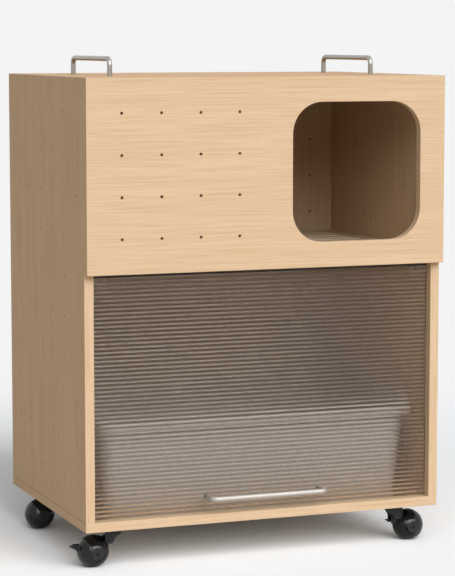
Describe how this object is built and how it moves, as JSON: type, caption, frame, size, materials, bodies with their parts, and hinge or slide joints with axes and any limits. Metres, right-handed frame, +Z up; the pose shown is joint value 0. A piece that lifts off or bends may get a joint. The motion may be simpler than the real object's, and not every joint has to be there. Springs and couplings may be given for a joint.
{
  "type": "cat litter cabinet",
  "caption": "Upright wooden cat cabinet on ball casters: rounded entry above, litter tray behind a ribbed clear top-hinged flap below, lift-off lid with bent rod handles.",
  "frame": {"origin": "middle of the footprint's bounding box, on the floor under the wheels", "axes": "+Z up, -Y the front with the entry and the flap, +X to the right seen from the front"},
  "size_m": [0.62, 0.437, 0.796],
  "materials": {
    "beech_veneer": "matt lacquered light beech veneer with fine grain",
    "bare_beech": "planed beech",
    "clear_plastic": "clear ribbed plastic",
    "satin_steel": "satin",
    "zinc_steel": "zinc plated",
    "nylon": "natural nylon",
    "tray_white": "white moulded plastic",
    "black_steel": "black painted",
    "gloss_black": "gloss black moulded plastic",
    "wheel_black": "satin black plastic"
  },
  "bodies": {
    "cabinet": {"side_panel_left": "beech_veneer", "side_panel_right": "beech_veneer", "bottom_board": "beech_veneer", "back_panel": "beech_veneer", "front_panel": "beech_veneer", "shelf": "beech_veneer", "dowels_bottom": "bare_beech", "dowels_shelf": "bare_beech", "dowels_back": "bare_beech", "dowels_front": "bare_beech", "lid_cleat_left": "bare_beech", "lid_cleat_right": "bare_beech", "pivot_bush_left": "nylon", "pivot_bush_right": "nylon", "door_stop_left": "clear_plastic", "door_stop_right": "clear_plastic", "litter_tray": "tray_white", "caster_kingpins": "zinc_steel", "swivel_washers": "nylon", "caster_screws": "zinc_steel", "caster_plate_front_left": "black_steel", "caster_plate_front_right": "black_steel", "caster_plate_rear_left": "black_steel", "caster_plate_rear_right": "black_steel"},
    "flap": {"door_sheet": "clear_plastic", "door_handle": "satin_steel", "door_handle_screws": "zinc_steel", "door_pivot_left": "clear_plastic", "door_pivot_right": "clear_plastic", "door_pivot_screws": "zinc_steel"},
    "lid": {"lid": "beech_veneer", "top_handle_left": "satin_steel", "top_handle_right": "satin_steel", "top_handle_screws": "zinc_steel"},
    "swivel_front_left": {"caster_housing_front_left": "gloss_black", "caster_axle_front_left": "black_steel"},
    "wheel_front_left": {"caster_wheel_front_left": "wheel_black"},
    "pedal_front_left": {"brake_pedal_front_left": "gloss_black"},
    "swivel_front_right": {"caster_housing_front_right": "gloss_black", "caster_axle_front_right": "black_steel"},
    "wheel_front_right": {"caster_wheel_front_right": "wheel_black"},
    "pedal_front_right": {"brake_pedal_front_right": "gloss_black"},
    "swivel_rear_left": {"caster_housing_rear_left": "gloss_black", "caster_axle_rear_left": "black_steel"},
    "wheel_rear_left": {"caster_wheel_rear_left": "wheel_black"},
    "pedal_rear_left": {"brake_pedal_rear_left": "gloss_black"},
    "swivel_rear_right": {"caster_housing_rear_right": "gloss_black", "caster_axle_rear_right": "black_steel"},
    "wheel_rear_right": {"caster_wheel_rear_right": "wheel_black"},
    "pedal_rear_right": {"brake_pedal_rear_right": "gloss_black"}
  },
  "joints": [
    {"name": "flap_hinge", "type": "hinge", "parent": "cabinet", "child": "flap", "pos_m": [0, -0.1775, 0.452], "axis": [-1, 0, 0], "range_deg": [0, 90]},
    {"name": "lid_lift", "type": "slide", "parent": "cabinet", "child": "lid", "axis": [0, 0, 1], "range_m": [0, 0.15]},
    {"name": "swivel_front_left", "type": "hinge", "parent": "cabinet", "child": "swivel_front_left", "pos_m": [-0.248, -0.1455, 0.055], "axis": [0, 0, 1], "continuous": true},
    {"name": "wheel_front_left", "type": "hinge", "parent": "swivel_front_left", "child": "wheel_front_left", "pos_m": [-0.272, -0.1455, 0.0245], "axis": [0, 1, 0], "continuous": true},
    {"name": "pedal_front_left", "type": "hinge", "parent": "swivel_front_left", "child": "pedal_front_left", "pos_m": [-0.3015, -0.1455, 0.0327], "axis": [0, -1, 0], "range_deg": [0, 10]},
    {"name": "swivel_front_right", "type": "hinge", "parent": "cabinet", "child": "swivel_front_right", "pos_m": [0.248, -0.1455, 0.055], "axis": [0, 0, 1], "continuous": true},
    {"name": "wheel_front_right", "type": "hinge", "parent": "swivel_front_right", "child": "wheel_front_right", "pos_m": [0.272, -0.1455, 0.0245], "axis": [0, 1, 0], "continuous": true},
    {"name": "pedal_front_right", "type": "hinge", "parent": "swivel_front_right", "child": "pedal_front_right", "pos_m": [0.2425, -0.1455, 0.0327], "axis": [0, -1, 0], "range_deg": [0, 10]},
    {"name": "swivel_rear_left", "type": "hinge", "parent": "cabinet", "child": "swivel_rear_left", "pos_m": [-0.248, 0.1515, 0.055], "axis": [0, 0, 1], "continuous": true},
    {"name": "wheel_rear_left", "type": "hinge", "parent": "swivel_rear_left", "child": "wheel_rear_left", "pos_m": [-0.272, 0.1515, 0.0245], "axis": [0, 1, 0], "continuous": true},
    {"name": "pedal_rear_left", "type": "hinge", "parent": "swivel_rear_left", "child": "pedal_rear_left", "pos_m": [-0.2425, 0.1515, 0.0327], "axis": [0, 1, 0], "range_deg": [0, 10]},
    {"name": "swivel_rear_right", "type": "hinge", "parent": "cabinet", "child": "swivel_rear_right", "pos_m": [0.248, 0.1515, 0.055], "axis": [0, 0, 1], "continuous": true},
    {"name": "wheel_rear_right", "type": "hinge", "parent": "swivel_rear_right", "child": "wheel_rear_right", "pos_m": [0.272, 0.1515, 0.0245], "axis": [0, 1, 0], "continuous": true},
    {"name": "pedal_rear_right", "type": "hinge", "parent": "swivel_rear_right", "child": "pedal_rear_right", "pos_m": [0.3015, 0.1515, 0.0327], "axis": [0, 1, 0], "range_deg": [0, 10]}
  ]
}
